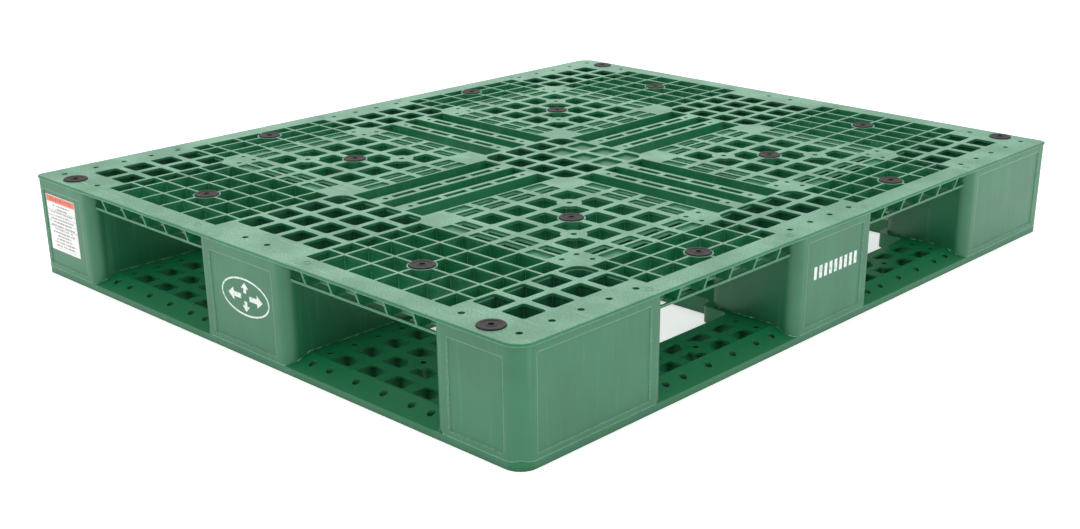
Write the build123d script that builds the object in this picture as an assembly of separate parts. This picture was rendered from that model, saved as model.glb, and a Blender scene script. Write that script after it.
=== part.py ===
from build123d import *
import os

# A four-way plastic block pallet: a moulded top deck, nine hollow blocks, a moulded
# bottom deck with four wheel openings, sixteen rubber grip grommets and a label.
#
# Frame: the origin is on the floor under the middle of the pallet, +X runs along the
# long side, +Y along the short side and +Z up. Front is the -Y long side and left is
# the -X short side. All sizes are in millimetres.
#
# The decks' quarters differ only in the radius of their corner, so a wide and a tight
# quarter are made in +X +Y and put round the middle. A web is a thin upright rib, a bay
# is the gap between two webs.

os.makedirs("parts", exist_ok=True)

# ---- the whole pallet -----------------------------------------------------------------
LENGTH = 1219.2                 # along X, 48 in
WIDTH = 1016.0                  # along Y, 40 in
HEIGHT = 152.4                  # floor to the deck's top face, 6 in
WIDE_RADIUS = 26.0              # front left and back right corners, seen from above
TIGHT_RADIUS = 10.0             # the other two corners

# ---- blocks ---------------------------------------------------------------------------
END_BLOCK_X = 246.0             # corner and short-side blocks, along X
SIDE_BLOCK_Y = 142.5            # corner and long-side blocks, along Y
MIDDLE_BLOCK = 188.0            # centre block, and the middle blocks along their side
BLOCK_RADIUS = 18.0             # upright edges at the fork openings
BLOCK_WALL = 4.0
BLOCK_WEB = 3.0
BLOCK_CELL_PITCH = 47.8         # cells over the corner and side blocks
BLOCK_CELL_START = 21.5         # block wall to the middle of its first cell
PANEL_DEPTH = 1.5               # recessed panels in the outer faces
LONG_PANEL_TOP = 10.0           # below the block's top, on the long sides
SHORT_PANEL_TOP = 15.0          # the same on the short sides
PANEL_BOTTOM = 18.0             # above the floor
PANEL_SIDE = 27.0               # in from a block side at a fork opening
WIDE_PANEL_CORNER = 27.0        # in from a pallet corner that is wide
TIGHT_PANEL_CORNER_X = 20.0     # in from a tight one along X, on the long sides
TIGHT_PANEL_CORNER_Y = 12.0     # and along Y, on the short sides
PANEL_RADIUS = 2.5
LOW_WEB_DROP = 20.0             # webs outside the cells stop this far below the top
CELL_FLOOR = 3.0                # floors that close six of the centre block's cells

# ---- top deck -------------------------------------------------------------------------
DECK_DEPTH = 27.0
DECK_SKIN = 4.0
DECK_WEB = 3.0
RIM_OVERHANG = 1.5              # the deck's edge past the blocks' faces
RIM_ROUNDING = 2.5
CELL = 37.5                     # square cells over the blocks
CELL_RADIUS = 4.5
BLOCK_CORNER_CELL_RADIUS = 17.0 # the cell corner at a block's corner
BLOCK_GAP = 0.5                 # deck webs to block walls

# Open fields of thin ribs above the fork entries, measured in from the deck's edges.
FIELD_RIB = 3.6
LONG_FIELD_OUTER = 34.5
LONG_FIELD_INNER = 125.5
LONG_FIELD_RIB = 97.0
SHORT_FIELD_OUTER = 35.6
SHORT_FIELD_INNER = 226.4
SHORT_FIELD_COLUMNS = 5
FIELD_END = 2.5                 # field end to the block beside it

# Panels of square cells between the blocks, each ringed by two rows of slots.
PANEL_LAP = 16.0                # a panel reaches this far past the blocks' walls
SLOT_WIDTH = 18.5
SLOT_RIB = 5.0
PANEL_MARGIN = 6.4
PANEL_BAR = 10.8                # between the square cells
PANEL_CELL_RADIUS = 4.0
PANEL_PITCH_AIM = 50.0
SLOT_DEPTH = 3.0
SLOT_FLOOR = 1.5
SLOT_RADIUS = 2.5
SLIT_WIDTH = 9.5
SLIT_INSET = 2.5                # slit end to slot end
SLIT_RADIUS = 1.5
BOSS_DISC_RADIUS = 18.0
BOSS_HOLE_RADIUS = 4.5
BOSS_TUBE_RADIUS = 7.5
PLATE_HOLE_RADIUS = 4.0
PLATE_HOLE_PITCH = 27.0

# Troughs and hollow bars that tie the blocks together.
TROUGH_HALF = 15.0              # middle trough, half its width
TIE_BAR = 23.0
TROUGH_END = 3.0                # trough end to block wall
TIE_SLOT_WIDTH = 10.5
TIE_SLOT_LENGTH = 42.0
TIE_HOLE_RADIUS = 4.0
TIE_FLOOR = 2.5                 # closes all but one of the slots left of the middle
TIE_FLOOR_LAP = 1.0

# Solid flange round the deck.
FLANGE_HOLE_RADIUS = 4.5
FLANGE_HOLE_INSET = 31.0
GUSSET_TOP_INSET = 4.0          # gusset's outer end under the rim
GUSSET_FOOT_INSET = 11.5        # and at its foot
CHORD = 3.2                     # bar along the gussets' feet

# ---- grip grommets --------------------------------------------------------------------
GROMMET_HEAD_RADIUS = 17.2
GROMMET_PROUD = 1.8
GROMMET_SEAT_DEPTH = 2.4
GROMMET_STEM_RADIUS = 10.8
GROMMET_BARB_RADIUS = 12.6
GROMMET_BARB_HEIGHT = 3.0
GROMMET_FOOT_INSET = 1.0        # the barb's foot, in from the stem
GROMMET_BORE_RADIUS = 4.0
GROMMET_RING_RADIUS = 12.5      # step in the head
GROMMET_STEP = 0.7
GROMMET_FIT = 0.25              # clearance round the head and the stem
COLLAR_WALL = 1.95              # ring of the deck round a grommet's head
COLLAR_DEPTH = 8.0
COLLAR_GAP = 1.8                # corner grommet's collar to the block wall beside it
CORNER_GROMMET_Y = 69.9         # in from the long edge
LONG_SIDE_GROMMET_Y = 60.3

# ---- bottom deck ----------------------------------------------------------------------
BASE_HEIGHT = 24.0
BASE_EDGE = 10.0                # height of the outer edge
BASE_RAMP = 31.0                # width of the ramp round the outside
BASE_SKIN = 3.2
BASE_WEB = 3.0
LONG_BAR = 103.0                # bars along the long sides
SHORT_BAR = 190.0               # bars along the short sides
CROSS_BAR = 150.0               # bars of the cross
BASE_PAD = 4.0                  # margin round each block's foot
BASE_OPENING_RADIUS = 12.0
BASE_CELL_LONG = 33.0
BASE_CELL_SHORT = 22.0
BASE_CELL_WIDE = 26.0
BASE_CELL_RADIUS = 3.0
BASE_BOSS_RADIUS = 20.0
BASE_HOLE_RADIUS = 4.0
RAMP_HOLE_RADIUS = 5.0
RAMP_HOLE_INSET = 20.0
END_HOLE_INSET = 24.0           # last hole of a row to the block beside it
LONG_ROWS = (45.0, 77.0)        # rows of cells, in from the long edge
SHORT_ROWS = (48.0, 88.0, 128.0, 168.0)
CROSS_ROWS = [20.0, 53.0]       # out from the middle of a cross bar

# ---- label ----------------------------------------------------------------------------
LABEL_WIDTH = 80.0
LABEL_THICKNESS = 0.3
LABEL_FOOT_MARGIN = 23.0        # recess's foot to the label
LABEL_TOP_MARGIN = 6.5          # label to the recess's top
LABEL_END_MARGIN = 6.0          # label to the recess's end

# ---- worked out from the above --------------------------------------------------------
half_x = LENGTH / 2
half_y = WIDTH / 2
block_face_x = half_x - RIM_OVERHANG
block_face_y = half_y - RIM_OVERHANG
end_block_x = block_face_x - END_BLOCK_X        # walls that face the fork openings
side_block_y = block_face_y - SIDE_BLOCK_Y
middle_half = MIDDLE_BLOCK / 2
gap_x = (middle_half + end_block_x) / 2         # middles of the fork openings
gap_y = (middle_half + side_block_y) / 2
deck_under = HEIGHT - DECK_DEPTH
block_top = HEIGHT - DECK_SKIN
web_top = block_top + DECK_SKIN / 4              # the deck's webs run up into its skin
slot_floor_top = HEIGHT - SLOT_DEPTH
slot_pad_under = slot_floor_top - SLOT_FLOOR
collar_radius = GROMMET_HEAD_RADIUS + GROMMET_FIT + COLLAR_WALL
long_grommet_y = half_y - LONG_SIDE_GROMMET_Y
corner_grommet_x = block_face_x - BLOCK_WALL - COLLAR_GAP - collar_radius
short_field_low = half_x - SHORT_FIELD_INNER
short_field_high = half_x - SHORT_FIELD_OUTER
long_field_low = half_y - LONG_FIELD_INNER
long_field_high = half_y - LONG_FIELD_OUTER
short_field_pitch = (short_field_high - short_field_low) / SHORT_FIELD_COLUMNS
short_field_ribs = [short_field_low + short_field_pitch * i for i in range(1, SHORT_FIELD_COLUMNS)]
long_field_ribs = [half_y - LONG_FIELD_RIB, long_grommet_y]
short_grommet_x = short_field_ribs[2]
trough_low = TROUGH_HALF + TIE_BAR
trough_high = middle_half - PANEL_LAP - DECK_WEB


# ---- small helpers --------------------------------------------------------------------
def block_box(low, high):
    """A box from its lowest to its highest corner."""
    size = [b - a for a, b in zip(low, high)]
    middle = [(a + b) / 2 for a, b in zip(low, high)]
    return Pos(*middle) * Box(*size)


def rounded(x, y, size_x, size_y, radius):
    """A rounded rectangle in plan about a middle point."""
    return Pos(x, y) * RectangleRounded(size_x, size_y, radius)


def rectangle(x0, x1, y0, y1):
    """A plain rectangle in plan from its limits."""
    return Pos((x0 + x1) / 2, (y0 + y1) / 2) * Rectangle(x1 - x0, y1 - y0)


def spread(middle, pitch, count):
    """Evenly spaced positions about a middle."""
    return [middle + pitch * (i - (count - 1) / 2) for i in range(count)]


def bays(low, high, lines, web):
    """The gaps that webs on the given lines leave between low and high."""
    inside = sorted(line for line in lines if low + web < line < high - web)
    starts = [low] + [line + web / 2 for line in inside]
    ends = [line - web / 2 for line in inside] + [high]
    return list(zip(starts, ends))


def prism(faces, z0, z1):
    """Flat shapes drawn at z = 0, raised into solids between two heights."""
    return Pos(0, 0, z0) * extrude(Sketch() + list(faces), z1 - z0)


def plate_with_holes(outline, holes, z0, z1):
    """One flat plate with separate openings, raised between two heights."""
    plate = Face(outline.face().outer_wire(), [hole.face().outer_wire() for hole in holes])
    return Pos(0, 0, z0) * Solid.extrude(plate, Vector(0, 0, z1 - z0))


def tube_column(x, y, radius, z0, z1):
    """An upright cylinder between two heights."""
    return Pos(x, y, z0) * Cylinder(radius, z1 - z0, align=(Align.CENTER, Align.CENTER, Align.MIN))


def plan_outline(inset, radius):
    """The pallet seen from above, drawn in from the edge by an inset."""
    return RectangleRounded(LENGTH - 2 * inset, WIDTH - 2 * inset, radius - inset)


def all_quarters(make_quarter):
    """The four quarters as one solid: wide corners back right and front left."""
    half = make_quarter(WIDE_RADIUS) + mirror(make_quarter(TIGHT_RADIUS), about=Plane.YZ)
    return half + Rot(0, 0, 180) * half


def save(shape, name):
    """Writes one piece as one closed solid."""
    solid = shape.solid()
    solid.label = name
    export_step(solid, "parts/" + name + ".step", write_pcurves=False)


# ---- panel layout, shared by the decks ------------------------------------------------
class PanelAxis:
    """Where the cells and slots of a panel lie along one axis of the quarter."""

    def __init__(self, gap_middle, end_wall):
        self.middle = gap_middle
        self.low = middle_half - PANEL_LAP
        self.high = end_wall + PANEL_LAP
        ring = 2 * SLOT_WIDTH + SLOT_RIB + PANEL_MARGIN
        field = self.high - self.low - 2 * ring
        self.count = 2 * round(field / PANEL_PITCH_AIM / 2)
        self.pitch = field / self.count
        self.cell = self.pitch - PANEL_BAR
        self.cells = spread(self.middle, self.pitch, self.count)
        self.lines = spread(self.middle, self.pitch, self.count + 1)
        inner = SLOT_WIDTH + SLOT_RIB + SLOT_WIDTH / 2
        self.outer_slots = (self.low + SLOT_WIDTH / 2, self.high - SLOT_WIDTH / 2)
        self.inner_slots = (self.low + inner, self.high - inner)
        self.slot_lines = (self.low + SLOT_WIDTH + SLOT_RIB / 2, self.high - SLOT_WIDTH - SLOT_RIB / 2)


along_x = PanelAxis(gap_x, end_block_x)
along_y = PanelAxis(gap_y, side_block_y)

# Cells over the blocks, in the quarter.
middle_pitch = MIDDLE_BLOCK / 4
middle_cells = [middle_pitch / 2, middle_pitch * 3 / 2]
end_cells = [end_block_x + BLOCK_CELL_START + BLOCK_CELL_PITCH * i for i in range(4)]
side_cells = [side_block_y + BLOCK_CELL_START + BLOCK_CELL_PITCH * i for i in range(2)]


# ---- top deck -------------------------------------------------------------------------
def block_cell(x, y, rounded_corner):
    """A square cell over a block. The corner that points along (sx, sy) may be large."""
    cell = rounded(x, y, CELL, CELL, CELL_RADIUS)
    if rounded_corner is None:
        return cell
    sx, sy = rounded_corner
    corner_square = Pos(x + sx * CELL / 4, y + sy * CELL / 4) * Rectangle(CELL / 2, CELL / 2)
    disc_x = x + sx * (CELL / 2 - BLOCK_CORNER_CELL_RADIUS)
    disc_y = y + sy * (CELL / 2 - BLOCK_CORNER_CELL_RADIUS)
    wide_x = rectangle(x - CELL / 2, x + CELL / 2, *sorted((y - sy * CELL / 2, disc_y)))
    wide_y = rectangle(*sorted((x - sx * CELL / 2, disc_x)), y - CELL / 2, y + CELL / 2)
    softened = (wide_x + wide_y + Pos(disc_x, disc_y) * Circle(BLOCK_CORNER_CELL_RADIUS)) & corner_square
    return (cell - corner_square) + softened


def block_cells():
    """All the cells over the blocks of one quarter."""
    groups = [
        (end_cells, side_cells, [(0, 0, (-1, -1))]),
        (end_cells, middle_cells, [(0, 1, (-1, 1))]),
        (middle_cells, side_cells, [(1, 0, (1, -1))]),
        (middle_cells, middle_cells, [(1, 1, (1, 1))]),
    ]
    cells = []
    for columns, rows, corners in groups:
        for i, x in enumerate(columns):
            for j, y in enumerate(rows):
                corner = [c for a, b, c in corners if (a, b) == (i, j)]
                cells.append(block_cell(x, y, corner[0] if corner else None))
    return cells


def field_cells(x_low, x_high, x_lines, y_low, y_high, y_lines):
    """The open cells of a rib field."""
    return [
        rectangle(x0, x1, y0, y1)
        for x0, x1 in bays(x_low, x_high, x_lines, FIELD_RIB)
        for y0, y1 in bays(y_low, y_high, y_lines, FIELD_RIB)
    ]


def trimmed(cells, discs):
    """Cells cut back where a round boss stands at their corner."""
    result = []
    for cell in cells:
        box = cell.bounding_box()
        for x, y, radius in discs:
            near_x = box.min.X - radius < x < box.max.X + radius
            near_y = box.min.Y - radius < y < box.max.Y + radius
            if near_x and near_y:
                cell = cell - Pos(x, y) * Circle(radius)
        result.append(cell)
    return result


panel_step_x = along_x.pitch
panel_step_y = along_y.pitch
boss_discs = [(gap_x + s * panel_step_x, gap_y + s * panel_step_y) for s in (-1, 1)]
field_grommets = [(gap_x, long_grommet_y), (short_grommet_x, gap_y), (gap_x, gap_y)]
corner_grommet = (corner_grommet_x, half_y - CORNER_GROMMET_Y)
grommet_places = field_grommets + [corner_grommet]

discs = [(x, y, BOSS_DISC_RADIUS) for x, y in boss_discs]
discs += [(x, y, collar_radius) for x, y in field_grommets]

panel_cells = [
    rounded(x, y, along_x.cell, along_y.cell, PANEL_CELL_RADIUS)
    for x in along_x.cells
    for y in along_y.cells
]
long_field = field_cells(
    middle_half + FIELD_END, end_block_x - FIELD_END, along_x.lines,
    long_field_low, long_field_high, long_field_ribs)
short_field = field_cells(
    short_field_low, short_field_high, short_field_ribs,
    middle_half + FIELD_END, side_block_y - FIELD_END, along_y.lines)
trough_x = (middle_half + TROUGH_END, end_block_x - TROUGH_END)
trough_y = (middle_half + TROUGH_END, side_block_y - TROUGH_END)
side_troughs = [
    rectangle(*trough_x, trough_low, trough_high),
    rectangle(trough_low, trough_high, *trough_y),
]
tie_middle = TROUGH_HALF + TIE_BAR / 2
tie_slots = [rounded(x, tie_middle, TIE_SLOT_LENGTH, TIE_SLOT_WIDTH, SLIT_RADIUS)
             for x in along_x.cells]
tie_slots += [rounded(tie_middle, y, TIE_SLOT_WIDTH, TIE_SLOT_LENGTH, SLIT_RADIUS)
              for y in along_y.cells]
tie_end_x = (along_x.slot_lines[0] + SLOT_WIDTH, along_x.slot_lines[1] - SLOT_WIDTH)
tie_end_y = (along_y.slot_lines[0] + SLOT_WIDTH, along_y.slot_lines[1] - SLOT_WIDTH)
tie_holes = [Pos(x, tie_middle) * Circle(TIE_HOLE_RADIUS) for x in tie_end_x]
tie_holes += [Pos(tie_middle, y) * Circle(TIE_HOLE_RADIUS) for y in tie_end_y]


def flange_holes():
    """Small round holes in the solid flange, in line with the blocks' cells."""
    edge_x = half_x - FLANGE_HOLE_INSET
    edge_y = half_y - FLANGE_HOLE_INSET
    places = [(x, edge_y) for x in end_cells + middle_cells]
    places.append((edge_x, middle_cells[0]))
    places += [(edge_x, edge_y), (edge_x, side_cells[0])]
    return [Pos(x, y) * Circle(FLANGE_HOLE_RADIUS) for x, y in places]


def plate_holes():
    """Three small holes in an L in each solid panel corner near a long side."""
    holes = []
    plate = 2 * SLOT_WIDTH + SLOT_RIB + PANEL_MARGIN + PANEL_BAR / 2
    for corner, toward in ((along_x.low, 1), (along_x.high, -1)):
        x = corner + toward * (plate + PLATE_HOLE_PITCH) / 2
        y = along_y.high - (plate + PLATE_HOLE_PITCH) / 2
        places = [(x, y), (x - toward * PLATE_HOLE_PITCH, y), (x, y + PLATE_HOLE_PITCH)]
        holes += [Pos(a, b) * Circle(PLATE_HOLE_RADIUS) for a, b in places]
    return holes


def slot_rows():
    """The slots round a panel: (x, y, size_x, size_y, has_slit)."""
    rows = []
    for ring, places in (("inner", along_x.inner_slots), ("outer", along_x.outer_slots)):
        for x in places:
            for i, y in enumerate(along_y.cells):
                at_end = i in (0, along_y.count - 1)
                rows.append((x, y, SLOT_WIDTH, along_y.cell, not (ring == "outer" and at_end)))
    for ring, places in (("inner", along_y.inner_slots), ("outer", along_y.outer_slots)):
        for y in places:
            for i, x in enumerate(along_x.cells):
                at_end = i in (0, along_x.count - 1)
                rows.append((x, y, along_x.cell, SLOT_WIDTH, not (ring == "outer" and at_end)))
    return rows


def deck_webs():
    """The upright webs under the deck's skin, outside the blocks, and the chord bars."""
    low = middle_half + BLOCK_GAP
    end_x = end_block_x - BLOCK_GAP
    end_y = side_block_y - BLOCK_GAP
    wall = FIELD_RIB / 2
    tie_walls = [TROUGH_HALF + DECK_WEB / 2, trough_low - DECK_WEB / 2, trough_high + DECK_WEB / 2]
    outer_y = long_field_high + wall
    outer_x = short_field_high + wall
    panel_foot = trough_high
    up_x = list(along_x.lines)                                   # run along Y
    up_y = list(along_y.lines)                                   # run along X
    runs_y = [(x, panel_foot, outer_y) for x in up_x]
    runs_y += [(x, along_y.lines[0], along_y.lines[-1]) for x in along_x.slot_lines]
    runs_y += [(x, low, end_y) for x in tie_walls]
    runs_y += [(x, low, end_y) for x in short_field_ribs + [short_field_low - wall, outer_x]]
    runs_x = [(y, panel_foot, outer_x) for y in up_y]
    runs_x += [(y, along_x.lines[0], along_x.lines[-1]) for y in along_y.slot_lines]
    runs_x += [(y, low, end_x) for y in tie_walls]
    runs_x += [(y, low, end_x) for y in long_field_ribs + [long_field_low - wall, outer_y]]
    half = DECK_WEB / 2
    webs = [block_box((x - half, a, deck_under), (x + half, b, web_top)) for x, a, b in runs_y]
    webs += [block_box((a, y - half, deck_under), (b, y + half, web_top)) for y, a, b in runs_x]
    return webs


def gussets():
    """Slant-ended ribs under the flange at the fork openings, tied by a chord bar."""
    half = DECK_WEB / 2
    parts = []
    for x in along_x.lines:
        outline = [
            (long_field_high, deck_under),
            (half_y - GUSSET_FOOT_INSET, deck_under),
            (half_y - GUSSET_TOP_INSET, web_top),
            (long_field_high, web_top),
        ]
        profile = Plane.YZ.offset(x - half) * make_face(Polyline(*outline, close=True))
        parts.append(extrude(profile, DECK_WEB, dir=(1, 0, 0)))
    for y in along_y.lines:
        outline = [
            (short_field_high, deck_under),
            (half_x - GUSSET_FOOT_INSET, deck_under),
            (half_x - GUSSET_TOP_INSET, web_top),
            (short_field_high, web_top),
        ]
        profile = Plane.XZ.offset(-y - half) * make_face(Polyline(*outline, close=True))
        parts.append(extrude(profile, DECK_WEB, dir=(0, -1, 0)))
    reach_y = half_y - GUSSET_FOOT_INSET
    reach_x = half_x - GUSSET_FOOT_INSET
    low = middle_half + BLOCK_GAP
    parts.append(block_box((low, reach_y - CHORD, deck_under),
                           (end_block_x - BLOCK_GAP, reach_y, deck_under + CHORD)))
    parts.append(block_box((reach_x - CHORD, low, deck_under),
                           (reach_x, side_block_y - BLOCK_GAP, deck_under + CHORD)))
    return parts


def top_deck_quarter(radius):
    """One quarter of skin, webs, slot pads and bosses."""
    openings = trimmed(block_cells() + panel_cells + long_field + short_field, discs)
    openings += side_troughs + tie_slots + tie_holes + flange_holes() + plate_holes()
    openings += [Pos(x, y) * Circle(BOSS_HOLE_RADIUS) for x, y in boss_discs]
    outline = plan_outline(0, radius) & rectangle(0, LENGTH, 0, WIDTH)
    skin = plate_with_holes(outline, openings, block_top, HEIGHT)
    top_edges = skin.faces().sort_by(Axis.Z)[-1].outer_wire().edges()
    rim = [edge for edge in top_edges if min(edge.center().X, edge.center().Y) > 1]
    skin = fillet(rim, RIM_ROUNDING)

    body = skin + deck_webs() + gussets()

    pads = []
    pockets = []
    slits = []
    for x, y, size_x, size_y, has_slit in slot_rows():
        pads.append(rounded(x, y, size_x + SLOT_RIB, size_y + SLOT_RIB, SLOT_RADIUS))
        pockets.append(rounded(x, y, size_x, size_y, SLOT_RADIUS))
        if has_slit:
            long_x = size_x > size_y
            slit_x = size_x - 2 * SLIT_INSET if long_x else SLIT_WIDTH
            slit_y = SLIT_WIDTH if long_x else size_y - 2 * SLIT_INSET
            slits.append(rounded(x, y, slit_x, slit_y, SLIT_RADIUS))
    body = body + prism(pads, slot_pad_under, web_top)

    for x, y in boss_discs:
        body = body + tube_column(x, y, BOSS_TUBE_RADIUS, deck_under, web_top)
    for x, y in field_grommets:
        body = body + tube_column(x, y, collar_radius, deck_under, HEIGHT)
    body = body + tube_column(*corner_grommet, collar_radius, HEIGHT - COLLAR_DEPTH, HEIGHT)

    tools = [prism(pockets, slot_floor_top, HEIGHT + 1)]
    tools.append(prism(slits, slot_pad_under - 1, slot_floor_top + 1))
    tools += [tube_column(x, y, BOSS_HOLE_RADIUS, deck_under - 1, HEIGHT + 1) for x, y in boss_discs]
    seat = HEIGHT - GROMMET_SEAT_DEPTH
    collar_foot = HEIGHT - COLLAR_DEPTH
    for x, y in grommet_places:
        tools.append(tube_column(x, y, GROMMET_HEAD_RADIUS + GROMMET_FIT, seat, HEIGHT + 1))
        tools.append(tube_column(x, y, GROMMET_STEM_RADIUS + GROMMET_FIT, deck_under - 1, HEIGHT))
        tools.append(tube_column(x, y, collar_radius - DECK_WEB, deck_under - 1, collar_foot))
    tools.append(block_box((-1, -1, deck_under - 1), (TROUGH_HALF, 0, HEIGHT + 1)))
    tools.append(block_box((trough_x[0], -1, deck_under - 1), (trough_x[1], TROUGH_HALF, HEIGHT + 1)))
    tools.append(block_box((-1, trough_y[0], deck_under - 1), (TROUGH_HALF, trough_y[1], HEIGHT + 1)))
    return body - tools


def make_top_deck():
    """The four quarters, and the floors under most of the left-hand tie slots."""
    deck = all_quarters(top_deck_quarter)
    all_slots = [(x, side) for side in (-1, 1) for x in along_x.cells]
    closed = [slot for slot in all_slots if slot != (along_x.cells[-1], -1)]
    floors = [rounded(-x, side * tie_middle, TIE_SLOT_LENGTH + 2 * TIE_FLOOR_LAP,
                      TIE_SLOT_WIDTH + 2 * TIE_FLOOR_LAP, SLIT_RADIUS)
              for x, side in closed]
    return deck + prism(floors, block_top - TIE_FLOOR, block_top)


# ---- bottom deck ----------------------------------------------------------------------
def base_envelope(inset, drop, radius):
    """The bottom deck's outer shape: an upright edge, then a ramp up to a flat top."""
    edge = BASE_EDGE - drop
    top = BASE_HEIGHT - drop
    in_by = inset + RIM_OVERHANG                    # its edge is flush with the blocks' faces
    solid = extrude(plan_outline(in_by, radius), top)
    for across, along, plane in ((LENGTH, WIDTH, Plane.XZ), (WIDTH, LENGTH, Plane.YZ)):
        foot = across / 2 - in_by
        crest = foot - BASE_RAMP
        section = [(-foot, 0), (foot, 0), (foot, edge), (crest, top), (-crest, top), (-foot, edge)]
        solid = solid & extrude(plane * make_face(Polyline(*section, close=True)), along, both=True)
    return solid


def base_opening(shrink):
    """A wheel opening in the quarter, clear of the blocks' feet; shrink moves its walls out."""
    cross = CROSS_BAR / 2 - shrink
    end = half_x - SHORT_BAR + shrink
    side = half_y - LONG_BAR + shrink
    pad = BASE_PAD + BASE_WEB - shrink
    opening = rectangle(cross, end, cross, side)
    opening -= rectangle(0, middle_half + pad, 0, middle_half + pad)
    opening -= rectangle(end_block_x - pad, LENGTH, side_block_y - pad, WIDTH)
    opening -= rectangle(0, middle_half + pad, side_block_y - pad, WIDTH)
    opening -= rectangle(end_block_x - pad, LENGTH, 0, middle_half + pad)
    return fillet(opening.vertices(), BASE_OPENING_RADIUS)


def base_cells():
    """Cells through the bars between the blocks' feet."""
    long_rows = [half_y - inset for inset in LONG_ROWS]
    short_rows = [half_x - inset for inset in SHORT_ROWS]
    cells = [rounded(x, y, BASE_CELL_LONG, BASE_CELL_SHORT, BASE_CELL_RADIUS)
             for x in along_x.cells for y in long_rows + CROSS_ROWS]
    cells += [rounded(x, y, BASE_CELL_WIDE, BASE_CELL_LONG, BASE_CELL_RADIUS)
              for x in short_rows for y in along_y.cells]
    cells += [rounded(x, y, BASE_CELL_SHORT, BASE_CELL_LONG, BASE_CELL_RADIUS)
              for x in CROSS_ROWS for y in along_y.cells]
    return trimmed(cells, [(x, y, BASE_BOSS_RADIUS) for x, y in base_bosses])


def base_holes():
    """Round holes along the ramp and at the ends of the rows of cells."""
    ends_x = (middle_half + END_HOLE_INSET, end_block_x - END_HOLE_INSET)
    ends_y = (middle_half + END_HOLE_INSET, side_block_y - END_HOLE_INSET)
    ramp = [(x, half_y - RAMP_HOLE_INSET) for x in [*along_x.cells, *ends_x]]
    ramp += [(half_x - RAMP_HOLE_INSET, y) for y in [*along_y.cells, *ends_y]]
    row_ends = [(x, half_y - inset) for x in ends_x for inset in LONG_ROWS]
    row_ends += [(half_x - inset, y) for y in ends_y for inset in SHORT_ROWS]
    holes = [Pos(x, y) * Circle(RAMP_HOLE_RADIUS) for x, y in ramp]
    return holes + [Pos(x, y) * Circle(BASE_HOLE_RADIUS) for x, y in row_ends + base_bosses]


def base_hollow(radius):
    """The space under the bottom deck's skin, parted by a grid of webs."""
    lines_x = [0, cross_line, *along_x.lines, block_face_x - BASE_RAMP]
    lines_x += [half_x - (a + b) / 2 for a, b in zip(SHORT_ROWS, SHORT_ROWS[1:])]
    lines_y = [0, cross_line, *along_y.lines, block_face_y - BASE_RAMP, long_grommet_y]
    half = BASE_WEB / 2
    webs = [block_box((x - half, 0, -1), (x + half, WIDTH, BASE_HEIGHT)) for x in lines_x]
    webs += [block_box((0, y - half, -1), (LENGTH, y + half, BASE_HEIGHT)) for y in lines_y]
    webs.append(prism([base_opening(BASE_WEB)], -1, BASE_HEIGHT))
    webs += [tube_column(x, y, BOSS_TUBE_RADIUS, -1, BASE_HEIGHT) for x, y in base_bosses]
    quarter = block_box((0, 0, 0), (LENGTH, WIDTH, BASE_HEIGHT))
    return (base_envelope(BASE_SKIN, BASE_SKIN, radius) & quarter) - webs


def bottom_deck_quarter(radius):
    """One quarter with its wheel opening, cells and hollow underside."""
    quarter = block_box((0, 0, 0), (LENGTH, WIDTH, BASE_HEIGHT))
    body = base_envelope(0, 0, radius) & quarter
    through = [base_opening(0), *base_cells(), *base_holes()]
    return body - [base_hollow(radius), prism(through, -1, BASE_HEIGHT + 1)]


# ---- blocks ---------------------------------------------------------------------------
def block_outline(x_span, y_span, inset, radius):
    """A block in plan, drawn in by an inset, with the pallet's corner where it has one."""
    own = rectangle(x_span[0] + inset, x_span[1] - inset, y_span[0] + inset, y_span[1] - inset)
    corners = sorted(own.vertices(), key=lambda corner: corner.X + corner.Y)
    if x_span[1] == block_face_x and y_span[1] == block_face_y:
        corners.pop()                               # the pallet's corner, rounded by its outline
    own = fillet(corners, BLOCK_RADIUS - inset)
    return own & plan_outline(inset + RIM_OVERHANG, radius)


def panel_recess(axis, start, end):
    """A shallow rounded recess in the outer face on one side of the pallet."""
    low = PANEL_BOTTOM
    high = block_top - (SHORT_PANEL_TOP if axis == "x" else LONG_PANEL_TOP)
    size = RectangleRounded(end - start, high - low, PANEL_RADIUS)
    middle = (start + end) / 2
    rise = (low + high) / 2
    if axis == "x":
        floor = (block_face_x - PANEL_DEPTH, middle, rise)
        plane = Plane(origin=floor, x_dir=(0, 1, 0), z_dir=(1, 0, 0))
    else:
        floor = (middle, block_face_y - PANEL_DEPTH, rise)
        plane = Plane(origin=floor, x_dir=(-1, 0, 0), z_dir=(0, 1, 0))
    return extrude(plane * size, PANEL_DEPTH + 1)


def make_block(x_span, y_span, x_lines, y_lines, cell_zone, panels, radius=WIDE_RADIUS):
    """A hollow block: walls, a grid of webs, low webs outside the cells, panels."""
    body = prism([block_outline(x_span, y_span, 0, radius)], 0, block_top)
    inside = block_outline(x_span, y_span, BLOCK_WALL, radius)
    low_x, high_x = x_span[0] + BLOCK_WALL, x_span[1] - BLOCK_WALL
    low_y, high_y = y_span[0] + BLOCK_WALL, y_span[1] - BLOCK_WALL
    hollow = [rectangle(a, b, c, d) & inside
              for a, b in bays(low_x, high_x, x_lines, BLOCK_WEB)
              for c, d in bays(low_y, high_y, y_lines, BLOCK_WEB)]
    tools = [prism(hollow, -1, block_top + 1), base_solids[radius]]
    if cell_zone is not None:
        outside = inside - cell_zone
        tools.append(prism([outside], block_top - LOW_WEB_DROP, block_top + 1))
    return body - tools - panels


def middle_lines():
    """Web lines between the cells of a middle block, across its whole width."""
    return spread(0, middle_pitch, 3)


def cell_lines(cells, pitch):
    """Web lines between a row of cells and past its last one."""
    return [cell + pitch / 2 for cell in cells]


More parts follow.
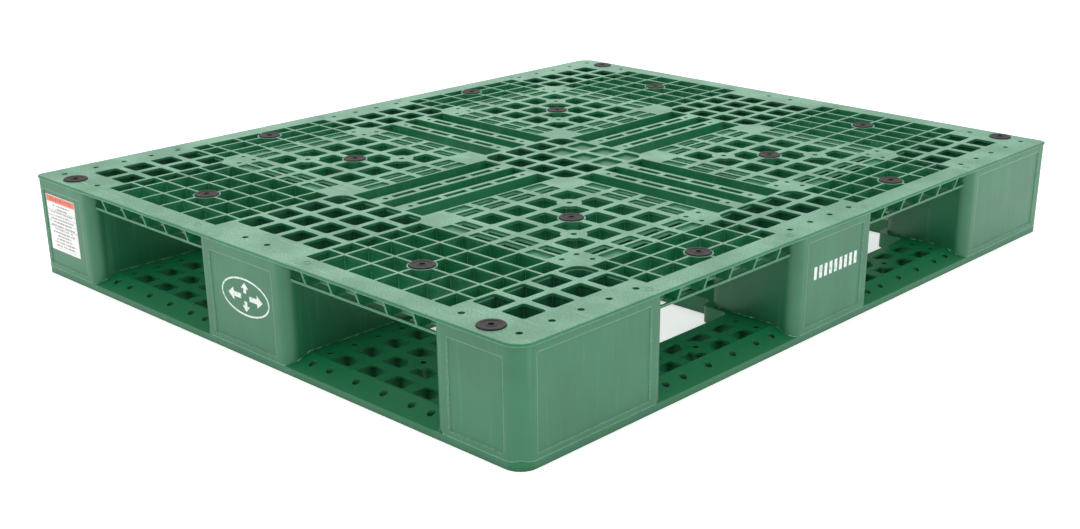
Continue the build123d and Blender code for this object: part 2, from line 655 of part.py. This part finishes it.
def make_blocks():
    """The nine blocks by name, each in its place."""
    end_lines = cell_lines(end_cells, BLOCK_CELL_PITCH)
    side_lines = cell_lines(side_cells, BLOCK_CELL_PITCH)
    end_span = (end_block_x, block_face_x)
    side_span = (side_block_y, block_face_y)
    middle_span = (-middle_half, middle_half)
    zone_x = end_lines[-1] + BLOCK_WEB / 2
    zone_y = side_lines[-1] + BLOCK_WEB / 2
    panel_middle = (PANEL_SIDE - middle_half, middle_half - PANEL_SIDE)

    corner_zone = rectangle(0, zone_x, 0, zone_y)
    corners = {}
    for radius, in_x, in_y in ((WIDE_RADIUS, WIDE_PANEL_CORNER, WIDE_PANEL_CORNER),
                               (TIGHT_RADIUS, TIGHT_PANEL_CORNER_X, TIGHT_PANEL_CORNER_Y)):
        panels = [panel_recess("x", side_block_y + PANEL_SIDE, block_face_y - in_y),
                  panel_recess("y", end_block_x + PANEL_SIDE, block_face_x - in_x)]
        corners[radius] = make_block(
            end_span, side_span, end_lines, side_lines, corner_zone, panels, radius)
    end = make_block(
        end_span, middle_span, end_lines, middle_lines(), rectangle(0, zone_x, -WIDTH, WIDTH),
        [panel_recess("x", *panel_middle)])
    side = make_block(
        middle_span, side_span, middle_lines(), side_lines, rectangle(-LENGTH, LENGTH, 0, zone_y),
        [panel_recess("y", *panel_middle)])
    centre = make_block(middle_span, middle_span, middle_lines(), middle_lines(), None, [])
    floors = [Pos(x, y) * Rectangle(middle_pitch, middle_pitch)
              for x in middle_cells for y in (-middle_cells[1], -middle_cells[0], middle_cells[0])]
    floor_plan = (Sketch() + floors) & block_outline(middle_span, middle_span, BLOCK_WALL / 2, WIDE_RADIUS)
    centre = centre + prism([floor_plan], block_top - CELL_FLOOR, block_top)
    return {
        "corner_block_back_right": corners[WIDE_RADIUS],
        "corner_block_back_left": mirror(corners[TIGHT_RADIUS], about=Plane.YZ),
        "corner_block_front_right": mirror(corners[TIGHT_RADIUS], about=Plane.XZ),
        "corner_block_front_left": Rot(0, 0, 180) * corners[WIDE_RADIUS],
        "short_side_block_right": end,
        "short_side_block_left": mirror(end, about=Plane.YZ),
        "long_side_block_back": side,
        "long_side_block_front": mirror(side, about=Plane.XZ),
        "centre_block": centre,
    }


# ---- grip grommets --------------------------------------------------------------------
def make_grommet(x, y):
    """A rubber grommet, turned about its axis: head, stem, barb and a hole through."""
    seat = HEIGHT - GROMMET_SEAT_DEPTH
    under = HEIGHT - COLLAR_DEPTH
    foot = under - GROMMET_BARB_HEIGHT
    top = HEIGHT + GROMMET_PROUD
    outline = [
        (GROMMET_BORE_RADIUS, foot),
        (GROMMET_STEM_RADIUS - GROMMET_FOOT_INSET, foot),
        (GROMMET_BARB_RADIUS, under),
        (GROMMET_STEM_RADIUS, under),
        (GROMMET_STEM_RADIUS, seat),
        (GROMMET_HEAD_RADIUS, seat),
        (GROMMET_HEAD_RADIUS, top - GROMMET_STEP),
        (GROMMET_HEAD_RADIUS - GROMMET_STEP, top),
        (GROMMET_RING_RADIUS, top),
        (GROMMET_RING_RADIUS - GROMMET_STEP, top - GROMMET_STEP),
        (GROMMET_RING_RADIUS / 2 + GROMMET_STEP, top - GROMMET_STEP),
        (GROMMET_RING_RADIUS / 2, top),
        (GROMMET_BORE_RADIUS, top),
    ]
    profile = Plane.XZ * make_face(Polyline(*outline, close=True))
    return Pos(x, y, 0) * revolve(profile, Axis.Z)


def grommet_nodes():
    """A name and a place for each of the sixteen grommets."""
    kinds = {
        "corner_grommet": corner_grommet,
        "long_side_grommet": field_grommets[0],
        "short_side_grommet": field_grommets[1],
        "panel_grommet": field_grommets[2],
    }
    return [
        (kind + "_" + row + "_" + column, sx * place[0], sy * place[1])
        for kind, place in kinds.items()
        for sy, row in ((-1, "front"), (1, "back"))
        for sx, column in ((-1, "left"), (1, "right"))
    ]


# ---- label ----------------------------------------------------------------------------
def make_label():
    """A plain sticker in the end panel of the back left block, glued to the recess's floor."""
    face = -(block_face_x - PANEL_DEPTH)
    end = block_face_y - TIGHT_PANEL_CORNER_Y - LABEL_END_MARGIN
    foot = PANEL_BOTTOM + LABEL_FOOT_MARGIN
    top = block_top - SHORT_PANEL_TOP - LABEL_TOP_MARGIN
    return block_box((face - LABEL_THICKNESS, end - LABEL_WIDTH, foot), (face, end, top))


# ---- build ----------------------------------------------------------------------------
base_bosses = [(gap_x, long_grommet_y), (half_x - (SHORT_ROWS[1] + SHORT_ROWS[2]) / 2, gap_y)]
cross_line = sum(CROSS_ROWS) / 2
base_solids = {radius: base_envelope(0, 0, radius) for radius in (WIDE_RADIUS, TIGHT_RADIUS)}

save(all_quarters(bottom_deck_quarter), "bottom_deck")
for name, block in make_blocks().items():
    save(block, name)
save(make_top_deck(), "top_deck")
for name, x, y in grommet_nodes():
    save(make_grommet(x, y), name)
save(make_label(), "label")
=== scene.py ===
import bmesh
import bpy
import math
from mathutils import Matrix, Vector


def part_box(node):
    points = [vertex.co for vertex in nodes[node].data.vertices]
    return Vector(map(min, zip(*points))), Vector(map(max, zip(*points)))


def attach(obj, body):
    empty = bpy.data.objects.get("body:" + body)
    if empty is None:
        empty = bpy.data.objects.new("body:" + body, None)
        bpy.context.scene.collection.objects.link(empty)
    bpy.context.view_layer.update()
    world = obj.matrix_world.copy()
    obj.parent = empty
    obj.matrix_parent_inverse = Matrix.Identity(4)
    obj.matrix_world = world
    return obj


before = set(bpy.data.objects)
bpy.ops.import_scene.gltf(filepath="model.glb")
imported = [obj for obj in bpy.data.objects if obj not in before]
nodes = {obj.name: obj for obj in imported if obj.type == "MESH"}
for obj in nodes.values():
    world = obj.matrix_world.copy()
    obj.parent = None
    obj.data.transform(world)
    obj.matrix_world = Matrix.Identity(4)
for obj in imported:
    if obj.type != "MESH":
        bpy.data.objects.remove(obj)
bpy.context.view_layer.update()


# ---- bottom deck ----------------------------------------------------------------------
# One moulding of green polyethylene: an upright edge, a ramp all round and flat bars full
# of cells. It is painted a deeper green than the blocks as painted shade, and keeps the lit green only where
# its upright edge runs under them; its holes are painted near-black as painted shade.
cloud_scale, streak_scale, fleck_scale, grain_scale = 14.0, 150.0, 420.0, 900.0    # cells of noise in a metre
wear_and_highlight_cosine = (0.995, 0.80)             # turn of an edge's normal, from no pale edge to full pale edge, partly rubbing and partly painted highlight
edge_from_x, edge_from_y = 0.6078, 0.5062    # the upright edge's face, from the middle
corner_from_x, corner_from_y = 0.3636, 0.3655    # where a corner block starts, from the middle
middle_half = 0.094                       # half of a middle block
painted_shade_reach = 0.016                        # how far round a point is searched for walls that shut it in, for its painted shade
painted_shade_share = 0.12                         # painted shade in a hole, as a share of the deck's shaded colour


def node_of(tree, kind, **inputs):
    """Adds a shader node and sets or links its named inputs."""
    made = tree.nodes.new(kind)
    for name, value in inputs.items():
        socket = made.inputs[name.replace("_", " ")] if name.replace("_", " ") in made.inputs else None
        if socket is None:
            setattr(made, name, value)
        elif isinstance(value, bpy.types.NodeSocket):
            tree.links.new(value, socket)
        else:
            socket.default_value = value
    return made


def noise(tree, place, scale, detail=3.0, stretch=(1, 1, 1)):
    """Soft random variation in metres, drawn out along an axis by a small stretch."""
    mapped = node_of(tree, "ShaderNodeMapping", Vector=place, Scale=stretch)
    made = node_of(tree, "ShaderNodeTexNoise", Vector=mapped.outputs["Vector"], Scale=scale, Detail=detail)
    return made.outputs["Fac"]


def remap(tree, value, low, high, to_low=0.0, to_high=1.0):
    """Stretches a range of values and clips it."""
    made = node_of(tree, "ShaderNodeMapRange", Value=value)
    for name, number in (("From Min", low), ("From Max", high), ("To Min", to_low), ("To Max", to_high)):
        made.inputs[name].default_value = number
    return made.outputs["Result"]


def blend(tree, share, first, second):
    """Mixes two colours."""
    made = tree.nodes.new("ShaderNodeMix")
    made.data_type = "RGBA"
    tree.links.new(share, made.inputs["Factor"])
    for socket, colour in ((made.inputs["A"], first), (made.inputs["B"], second)):
        if isinstance(colour, bpy.types.NodeSocket):
            tree.links.new(colour, socket)
        else:
            socket.default_value = (*colour, 1)
    return made.outputs["Result"]


def math_of(tree, operation, first, second):
    """One sum on two values."""
    made = tree.nodes.new("ShaderNodeMath")
    made.operation = operation
    for socket, value in zip(made.inputs, (first, second)):
        if isinstance(value, bpy.types.NodeSocket):
            tree.links.new(value, socket)
        else:
            socket.default_value = value
    return made.outputs["Value"]


def new_material(name):
    """A node material with its tree, its shader and the place on the object."""
    material = bpy.data.materials.new(name)
    material.use_nodes = True
    tree = material.node_tree
    place = tree.nodes.new("ShaderNodeTexCoord").outputs["Object"]
    return material, tree, tree.nodes["Principled BSDF"], place


def bump(tree, height, strength, distance, normal=None):
    """Fine relief from a height, on top of a normal where one is given."""
    made = node_of(tree, "ShaderNodeBump", Height=height)
    if normal is not None:
        tree.links.new(normal, made.inputs["Normal"])
    made.inputs["Strength"].default_value = strength
    made.inputs["Distance"].default_value = distance
    return made.outputs["Normal"]


# The mask below marks where the bottom deck keeps its lit green; everywhere else it gets the painted shade
# colour.
def under_blocks(tree, place):
    """One on the upright edge where it runs under a block, nought elsewhere."""
    axes = node_of(tree, "ShaderNodeSeparateXYZ", Vector=place)
    away = [math_of(tree, "ABSOLUTE", axes.outputs[axis], 0.0) for axis in "XY"]
    sides = []
    for across, along, edge_from, corner_from in ((0, 1, edge_from_x, corner_from_y),
                                                  (1, 0, edge_from_y, corner_from_x)):
        middle = math_of(tree, "LESS_THAN", away[along], middle_half)
        corner = math_of(tree, "GREATER_THAN", away[along], corner_from)
        on_edge = math_of(tree, "GREATER_THAN", away[across], edge_from)
        sides.append(math_of(tree, "MULTIPLY", on_edge, math_of(tree, "MAXIMUM", middle, corner)))
    return math_of(tree, "MAXIMUM", *sides)


def moulded_green(name, body, pale, drag, gloss, edge=0.0011, scuff_and_sheen_above=None, inner=None):
    """Moulded polyethylene: clouded pigment, drag lines, fine grain, rubbed edges and faces, with a painted
    highlight on edges, a painted sheen on the top face where scuff_and_sheen_above is given, and painted
    shade where inner is given.
    """
    material, tree, shader, place = new_material(name)
    cloud = noise(tree, place, cloud_scale, 5.0)
    streak = noise(tree, place, streak_scale, 4.0, drag)
    grain = noise(tree, place, grain_scale)
    fleck = noise(tree, place, fleck_scale)
    deep = tuple(c * 0.90 for c in body)
    bright = tuple(min(1.0, c * 1.10) for c in body)
    colour = blend(tree, remap(tree, cloud, 0.35, 0.65), deep, bright)
    colour = blend(tree, remap(tree, streak, 0.58, 0.85, 0.0, 0.18), colour, pale)

    # Painted highlight: edges are painted pale, partly rubbing and partly a painted edge highlight.
    rounded = node_of(tree, "ShaderNodeBevel")
    rounded.samples = 6
    rounded.inputs["Radius"].default_value = edge
    flat = tree.nodes.new("ShaderNodeNewGeometry").outputs["Normal"]
    turn = tree.nodes.new("ShaderNodeVectorMath")
    turn.operation = "DOT_PRODUCT"
    tree.links.new(rounded.outputs["Normal"], turn.inputs[0])
    tree.links.new(flat, turn.inputs[1])
    rubbed_and_highlit_edge = remap(tree, turn.outputs["Value"], *wear_and_highlight_cosine)
    rubbed_and_highlit_edge = math_of(tree, "MULTIPLY", rubbed_and_highlit_edge, remap(tree, fleck, 0.30, 0.60, 0.45, 1.0))
    colour = blend(tree, rubbed_and_highlit_edge, colour, pale)

    if inner is not None:
        # Painted shade: a darker shaded copy of the green (inner) everywhere but the upright edge under the
        # blocks.
        colour = blend(tree, under_blocks(tree, place), inner, colour)
        # Painted shade: ambient occlusion paints holes, cell walls and corners near-black.
        painted_hole_shade = node_of(tree, "ShaderNodeAmbientOcclusion")
        painted_hole_shade.samples = 6
        painted_hole_shade.inputs["Distance"].default_value = painted_shade_reach
        colour = blend(tree, remap(tree, painted_hole_shade.outputs["AO"], 0.70, 0.28), colour,
                       tuple(c * painted_shade_share for c in inner))

    rough = remap(tree, streak, 0.3, 0.7, 0.36, 0.48)
    # Painted sheen: the top face is painted paler in patches, partly rubbing and partly standing in for its
    # sheen.
    if scuff_and_sheen_above is not None:
        axes = node_of(tree, "ShaderNodeSeparateXYZ", Vector=place)
        raised = remap(tree, axes.outputs["Z"], scuff_and_sheen_above - 0.0004, scuff_and_sheen_above)
        up = node_of(tree, "ShaderNodeSeparateXYZ", Vector=flat).outputs["Z"]
        raised = math_of(tree, "MULTIPLY", raised, remap(tree, up, 0.5, 0.95))
        rubbed_and_sheen_fleck = remap(tree, fleck, 0.38, 0.66, 0.22, 0.62)
        patch = remap(tree, cloud, 0.40, 0.62, 0.55, 1.0)
        share = math_of(tree, "MULTIPLY", raised, math_of(tree, "MULTIPLY", rubbed_and_sheen_fleck, patch))
        colour = blend(tree, share, colour, pale)
        scratch = noise(tree, place, 260.0, 2.0, (1.0, 0.06, 1.0))
        marks = math_of(tree, "MULTIPLY", raised, remap(tree, scratch, 0.66, 0.74, 0.0, 0.5))
        colour = blend(tree, marks, colour, pale)
    tree.links.new(colour, shader.inputs["Base Color"])
    tree.links.new(rough, shader.inputs["Roughness"])
    relief = bump(tree, grain, 0.22, 0.0004, rounded.outputs["Normal"])
    tree.links.new(bump(tree, cloud, 0.12, 0.003, relief), shader.inputs["Normal"])
    shader.inputs["Specular IOR Level"].default_value = gloss
    return material


def finish_node(name, material):
    """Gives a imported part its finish."""
    slots = nodes[name].data.materials
    slots.clear()
    slots.append(material)


# inner is a darker shaded copy of the deck's green, painted in as painted shade.
base_green = moulded_green("base_green", body=(0.013, 0.155, 0.068), pale=(0.16, 0.42, 0.27),
                           drag=(1, 1, 0.05), gloss=0.50, inner=(0.001, 0.150, 0.052))
finish_node("bottom_deck", base_green)

# ---- nine hollow blocks ---------------------------------------------------------------
# Separate hollow mouldings of the same green polyethylene, welded to both decks. Faint
# upright drag lines run down their faces, and their edges are rounded, rubbed and painted pale as a painted
# highlight.
block_green = moulded_green("block_green", body=(0.016, 0.152, 0.069), pale=(0.24, 0.50, 0.36),
                            drag=(1, 1, 0.04), gloss=0.60, edge=0.0024)
for name in nodes:
    if "block" in name:
        finish_node(name, block_green)

# ---- weld beads -----------------------------------------------------------------------
# A thin ragged bead of squeezed-out plastic where each block's foot is welded to the
# bottom deck. It follows the foot in from the edge, up the ramp and across the flat.
edge_x, edge_y = 0.6081, 0.5065           # the blocks' outer faces, from the middle
end_block_x, side_block_y = 0.3621, 0.3640    # the corner blocks' inner faces
ramp_width, edge_height, ramp_rise = 0.031, 0.010, 0.014
foot_radius, foot_step = 0.018, 0.004
outer_gap = 0.0002                        # nearer than this to the edge is an outer face
corner_keep = 0.030                       # no bead is seen round the pallet's own corners
bead_sides = 6
bead_thick, bead_lump = 0.0008, 0.0005
bead_lift = 0.0004


def add_piece(name, shells, material, smooth=False):
    """Joins closed shells into one piece that rides on the pallet."""
    verts, faces = [], []
    for points, loops in shells:
        faces += [tuple(i + len(verts) for i in loop) for loop in loops]
        verts += points
    mesh = bpy.data.meshes.new(name)
    mesh.from_pydata(verts, [], faces)
    work = bmesh.new()
    work.from_mesh(mesh)
    bmesh.ops.recalc_face_normals(work, faces=work.faces)
    work.to_mesh(mesh)
    work.free()
    if smooth:
        mesh.shade_smooth()
    mesh.materials.append(material)
    piece = bpy.data.objects.new(name, mesh)
    bpy.context.scene.collection.objects.link(piece)
    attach(piece, "root")


def deck_height(x, y):
    """How high the bottom deck's top is at a place."""
    inward = min(edge_x - abs(x), edge_y - abs(y), ramp_width)
    return edge_height + ramp_rise * inward / ramp_width


def foot_loop(x0, x1, y0, y1):
    """A block's foot in plan as a closed loop of (x, y, outward)."""
    r = foot_radius
    loop = []
    for cx, cy, start in ((x1 - r, y1 - r, 0), (x0 + r, y1 - r, 90),
                          (x0 + r, y0 + r, 180), (x1 - r, y0 + r, 270)):
        for i in range(8):
            a = math.radians(start + 90 * i / 7)
            loop.append((cx + r * math.cos(a), cy + r * math.sin(a), a))
    fine = []
    for (ax, ay, aa), (bx, by, ba) in zip(loop, loop[1:] + loop[:1]):
        count = max(1, round(math.hypot(bx - ax, by - ay) / foot_step))
        turn = (ba - aa + math.pi) % (2 * math.pi) - math.pi
        fine += [(ax + (bx - ax) * i / count, ay + (by - ay) * i / count, aa + turn * i / count)
                 for i in range(count)]
    return fine


def foot_runs(x0, x1, y0, y1):
    """The loop's runs that lie on the bottom deck, without its outer faces."""
    fine = foot_loop(x0, x1, y0, y1)
    free = [min(edge_x - abs(x), edge_y - abs(y)) > outer_gap
            and max(edge_x - abs(x), edge_y - abs(y)) > corner_keep for x, y, a in fine]
    if all(free):
        return [fine]
    first = free.index(False)
    fine, free = fine[first:] + fine[:first], free[first:] + free[:first]
    runs, run = [], []
    for point, is_free in zip(fine, free):
        if is_free:
            run.append(point)
        elif run:
            runs.append(run)
            run = []
    return runs + [run] if run else runs


def bead(run):
    """A lumpy closed tube along a run."""
    sides = bead_sides
    points, loops = [], []
    for i, (x, y, a) in enumerate(run):
        lump = math.sin(1.9 * i + 40 * x) * math.sin(0.7 * i + 55 * y)
        thick = bead_thick + bead_lump * lump
        sway = 0.0003 + 0.0004 * math.sin(1.3 * i + 30 * y)
        cx, cy = x + sway * math.cos(a), y + sway * math.sin(a)
        cz = deck_height(x, y) + bead_lift
        for k in range(sides):
            b = 2 * math.pi * k / sides
            out = thick * math.cos(b)
            points.append((cx + out * math.cos(a), cy + out * math.sin(a), cz + thick * math.sin(b)))
    for i in range(len(run) - 1):
        for k in range(sides):
            n = (k + 1) % sides
            loops.append((i * sides + k, i * sides + n, (i + 1) * sides + n, (i + 1) * sides + k))
    loops.append(tuple(range(sides)))
    loops.append(tuple((len(run) - 1) * sides + k for k in range(sides)))
    return points, loops


weld, tree, shader, place = new_material("weld")
colour = blend(tree, remap(tree, noise(tree, place, 120.0, 4.0), 0.46, 0.66),
               (0.010, 0.160, 0.065), (0.22, 0.48, 0.34))
tree.links.new(colour, shader.inputs["Base Color"])
tree.links.new(remap(tree, noise(tree, place, 90.0), 0.3, 0.7, 0.35, 0.60), shader.inputs["Roughness"])
spans_x = ((-edge_x, -end_block_x), (-middle_half, middle_half), (end_block_x, edge_x))
spans_y = ((-edge_y, -side_block_y), (-middle_half, middle_half), (side_block_y, edge_y))
beads = [bead(run) for sx in spans_x for sy in spans_y for run in foot_runs(*sx, *sy)]
add_piece("weld_beads", beads, weld, True)

# ---- printed marks --------------------------------------------------------------------
# White paint on two middle blocks' recessed panels: a plain four-way entry sign on the
# short side and a plain row of bars on the long side. Both are thin flat films.
film_depth = 0.00015
sign_outer, sign_inner = (0.0515, 0.026), (0.0490, 0.0235)    # half widths and heights of the oval line
bar_count, bar_pitch, bar_half, bar_rise = 9, 0.0121, 0.0034, 0.009


def prism_on(outline, put):
    """A closed prism of a flat outline; put turns (across, up, depth) into a place."""
    n = len(outline)
    points = [put(u, v, 0.0) for u, v in outline] + [put(u, v, film_depth) for u, v in outline]
    sides = [(i, (i + 1) % n, n + (i + 1) % n, n + i) for i in range(n)]
    return points, [tuple(range(n)), tuple(range(n, 2 * n))] + sides


def ring_on(outer, inner, put, depth):
    """A closed flat ring between two loops with as many points."""
    n = len(outer)
    points = [put(u, v, d) for d in (0.0, depth) for loop in (outer, inner) for u, v in loop]
    loops = []
    for i in range(n):
        j = (i + 1) % n
        loops += [(i, j, n + j, n + i), (2 * n + i, 2 * n + j, 3 * n + j, 3 * n + i),
                  (i, j, 2 * n + j, 2 * n + i), (n + i, n + j, 3 * n + j, 3 * n + i)]
    return points, loops


def ellipse(half_u, half_v, count=72):
    """Points round an ellipse about the middle."""
    turns = [2 * math.pi * i / count for i in range(count)]
    return [(half_u * math.cos(a), half_v * math.sin(a)) for a in turns]


def short_side_panel(u, v, depth):
    """A place on the left short side's middle panel, from the sign's middle."""
    return (-0.60658 - depth, -0.0065 - u, 0.084 + v)


def long_side_panel(u, v, depth):
    """A place on the front long side's middle panel, from the row's middle."""
    return (0.003 + u, -0.50498 - depth, 0.091 + v)


paint, tree, shader, place = new_material("white_paint")
thin = noise(tree, place, 260.0, 5.0)
colour = blend(tree, remap(tree, thin, 0.34, 0.50), (0.42, 0.55, 0.48), (0.80, 0.83, 0.82))
tree.links.new(colour, shader.inputs["Base Color"])
tree.links.new(remap(tree, thin, 0.3, 0.7, 0.45, 0.60), shader.inputs["Roughness"])

side_arrow = [(0.037, 0), (0.025, 0.009), (0.025, 0.0035), (0.009, 0.0035),
              (0.009, -0.0035), (0.025, -0.0035), (0.025, -0.009)]
up_arrow = [(0, 0.020), (-0.008, 0.012), (-0.003, 0.012), (-0.003, 0.0055),
            (0.003, 0.0055), (0.003, 0.012), (0.008, 0.012)]
arrows = [[(s * u, s * v) for u, v in arrow] for arrow in (side_arrow, up_arrow) for s in (-1, 1)]
sign = [prism_on(arrow, short_side_panel) for arrow in arrows]
sign.append(ring_on(ellipse(*sign_outer), ellipse(*sign_inner), short_side_panel, film_depth))
add_piece("entry_sign", sign, paint)

bars = []
for i in range(bar_count):
    middle = (i - (bar_count - 1) / 2) * bar_pitch
    bars.append(prism_on([(middle - bar_half, -bar_rise), (middle + bar_half, -bar_rise),
                          (middle + bar_half, bar_rise), (middle - bar_half, bar_rise)], long_side_panel))
add_piece("bar_row", bars, paint)

# ---- top deck -------------------------------------------------------------------------
# One moulding of green polyethylene: a skin of cells and slots on a grid of thin webs,
# welded to the blocks. Its top face is painted pale in patches, partly rubbing and partly a painted sheen,
# and low rings left by the mould's ejector pins stand on the flange beside the blocks.
ring_outer, ring_inner, ring_rise, ring_points = 0.0060, 0.0046, 0.0005, 32
ring_foot = 0.15225                       # just under the deck's top face
scuff_and_sheen_from = 0.1520                       # only the top face is rubbed and given painted sheen
deck_green = moulded_green("deck_green", body=(0.010, 0.180, 0.072), pale=(0.35, 0.60, 0.455),
                           drag=(1, 1, 0.3), gloss=0.60, scuff_and_sheen_above=scuff_and_sheen_from)
finish_node("top_deck", deck_green)

ring_places = [(sx * x, sy * 0.490) for x in (0.089, 0.3755) for sx in (-1, 1) for sy in (-1, 1)]
ring_places += [(sx * 0.5875, sy * 0.118) for sx in (-1, 1) for sy in (-1, 1)]
rings = []
for x, y in ring_places:
    def on_flange(u, v, depth, x=x, y=y):
        return (x + u, y + v, ring_foot + depth)
    rings.append(ring_on(ellipse(ring_outer, ring_outer, ring_points),
                         ellipse(ring_inner, ring_inner, ring_points), on_flange, ring_rise))
add_piece("ejector_rings", rings, deck_green)

# ---- grip grommets --------------------------------------------------------------------
# Sixteen round plugs of brown-black rubber, pushed into seats in the top deck. They stand
# a little proud of it, so that a load doesn't slide.
rubber, tree, shader, place = new_material("grommet_rubber")
patch = noise(tree, place, 90.0, 5.0)
speck = noise(tree, place, 900.0, 2.0)
colour = blend(tree, remap(tree, patch, 0.35, 0.7), (0.010, 0.008, 0.008), (0.040, 0.033, 0.032))
tree.links.new(colour, shader.inputs["Base Color"])
tree.links.new(remap(tree, patch, 0.3, 0.7, 0.50, 0.70), shader.inputs["Roughness"])
shader.inputs["Specular IOR Level"].default_value = 0.35
tree.links.new(bump(tree, speck, 0.25, 0.0004), shader.inputs["Normal"])
for name in nodes:
    if "grommet" in name:
        finish_node(name, rubber)

# ---- label ----------------------------------------------------------------------------
# A printed sticker on the back left corner block's end face. It has a plain orange band
# over broken grey rows that hold no letters, and four thin rules.
label_low, label_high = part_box("label")
label_middle = (label_low.y + label_high.y) / 2
band_foot = label_high.z - 0.0105
row_pitch = 0.0052
row_ink = (0.30, 0.72)                    # the inked part of a row, as shares of its pitch
rules_at = (0.0785, 0.0870, 0.0955, 0.1040)
rule_half = 0.0004
border = 0.0008
film, tree, shader, place = new_material("label_film")
axes = node_of(tree, "ShaderNodeSeparateXYZ", Vector=place)
across = math_of(tree, "ABSOLUTE", math_of(tree, "SUBTRACT", axes.outputs["Y"], label_middle), 0.0)
up = axes.outputs["Z"]
rows = math_of(tree, "DIVIDE", up, row_pitch)
which = node_of(tree, "ShaderNodeTexWhiteNoise", noise_dimensions="1D")
tree.links.new(math_of(tree, "FLOOR", rows, 0.0), which.inputs["W"])
height = math_of(tree, "FRACT", rows, 0.0)
ink = math_of(tree, "MULTIPLY", math_of(tree, "GREATER_THAN", height, row_ink[0]),
              math_of(tree, "LESS_THAN", height, row_ink[1]))
reach = remap(tree, which.outputs["Value"], 0.0, 1.0, 0.017, 0.034)
ink = math_of(tree, "MULTIPLY", ink, math_of(tree, "LESS_THAN", across, reach))
ink = math_of(tree, "MULTIPLY", ink, remap(tree, noise(tree, place, 520.0, 1.0, (1, 1, 0.2)), 0.40, 0.46))
ink = math_of(tree, "MULTIPLY", ink, math_of(tree, "GREATER_THAN", up, label_low.z + 0.004))
ink = math_of(tree, "MULTIPLY", ink, math_of(tree, "LESS_THAN", up, band_foot - 0.002))
for rule in rules_at:
    gap = math_of(tree, "ABSOLUTE", math_of(tree, "SUBTRACT", up, rule), 0.0)
    line = math_of(tree, "MULTIPLY", math_of(tree, "LESS_THAN", gap, rule_half), 0.8)
    ink = math_of(tree, "MAXIMUM", ink, line)
mottle = remap(tree, noise(tree, place, 60.0, 4.0), 0.35, 0.65)
paper_white = blend(tree, mottle, (0.78, 0.78, 0.77), (0.87, 0.87, 0.86))
colour = blend(tree, math_of(tree, "MULTIPLY", ink, 0.82), paper_white, (0.10, 0.10, 0.11))
band = math_of(tree, "GREATER_THAN", up, band_foot)
band = math_of(tree, "MULTIPLY", band, math_of(tree, "LESS_THAN", up, label_high.z - border))
inset = (label_high.y - label_low.y) / 2 - border
band = math_of(tree, "MULTIPLY", band, math_of(tree, "LESS_THAN", across, inset))
colour = blend(tree, band, colour, (0.80, 0.150, 0.065))
band_rise = math_of(tree, "ABSOLUTE", math_of(tree, "SUBTRACT", up, band_foot + 0.0050), 0.0)
title = math_of(tree, "MULTIPLY", math_of(tree, "LESS_THAN", band_rise, 0.0022),
                math_of(tree, "LESS_THAN", across, 0.031))
title = math_of(tree, "MULTIPLY", title, remap(tree, noise(tree, place, 330.0, 1.0, (1, 1, 0.2)), 0.44, 0.50))
colour = blend(tree, math_of(tree, "MULTIPLY", title, 0.6), colour, (0.25, 0.03, 0.02))
tree.links.new(colour, shader.inputs["Base Color"])
tree.links.new(remap(tree, mottle, 0.0, 1.0, 0.30, 0.45), shader.inputs["Roughness"])
finish_node("label", film)

# ---- floor, light and camera ----------------------------------------------------------
# A plain pale floor of paper that glows a little, lit by three soft boxes: one broad one
# above, one on the long side and one behind, which gives the deck's top its low sheen.
floor_half, floor_drop = 30.0, 0.0002
floor_mesh = bpy.data.meshes.new("floor")
floor_corners = [(sx * floor_half, sy * floor_half, 0) for sx, sy in ((-1, -1), (1, -1), (1, 1), (-1, 1))]
floor_mesh.from_pydata(floor_corners, [], [(0, 1, 2, 3)])
floor = bpy.data.objects.new("floor", floor_mesh)
bpy.context.scene.collection.objects.link(floor)
floor.location.z = -floor_drop
paper, tree, shader, place = new_material("paper")
shader.inputs["Base Color"].default_value = (0.93, 0.93, 0.93, 1)
shader.inputs["Roughness"].default_value = 0.9
shader.inputs["Emission Color"].default_value = (1, 1, 1, 1)
shader.inputs["Emission Strength"].default_value = 0.50
floor_mesh.materials.append(paper)


def soft_light(name, at, toward, size, power):
    """A square soft box at a point, turned to face another."""
    lamp = bpy.data.lights.new(name, "AREA")
    lamp.shape = "SQUARE"
    lamp.size = size
    lamp.energy = power
    made = bpy.data.objects.new(name, lamp)
    made.location = at
    made.visible_camera = False
    made.rotation_euler = (Vector(toward) - Vector(at)).to_track_quat("-Z", "Y").to_euler()
    bpy.context.scene.collection.objects.link(made)


soft_light("top_light", (0.3, 0.6, 2.6), (0, 0, 0.1), 2.6, 30)
soft_light("side_light", (0.6, -3.2, 1.3), (0, 0, 0.1), 1.8, 6)
soft_light("rear_light", (2.6, 2.9, 1.6), (0, 0, 0.1), 2.6, 6)
world = bpy.data.worlds.new("studio")
world.use_nodes = True
world.node_tree.nodes["Background"].inputs["Color"].default_value = (1, 1, 1, 1)
world.node_tree.nodes["Background"].inputs["Strength"].default_value = 0.85
bpy.context.scene.world = world

view_turn, view_down, view_roll = -47.65, 21.84, 0.13    # degrees
lens = bpy.data.cameras.new("camera")
lens.sensor_width = 36.0
lens.lens = 48.85
lens.shift_x = -0.0410
lens.shift_y = 0.0712
lens.clip_start = 0.05
camera = bpy.data.objects.new("camera", lens)
camera.location = (-1.6240, -1.5255, 0.7355)
turn = Matrix.Rotation(math.radians(view_turn), 3, "Z")
tilt = Matrix.Rotation(math.radians(90 - view_down), 3, "X")
roll = Matrix.Rotation(math.radians(view_roll), 3, "Z")
camera.rotation_euler = (turn @ tilt @ roll).to_euler()
bpy.context.scene.collection.objects.link(camera)
bpy.context.scene.camera = camera
bpy.context.scene.view_settings.view_transform = "Standard"
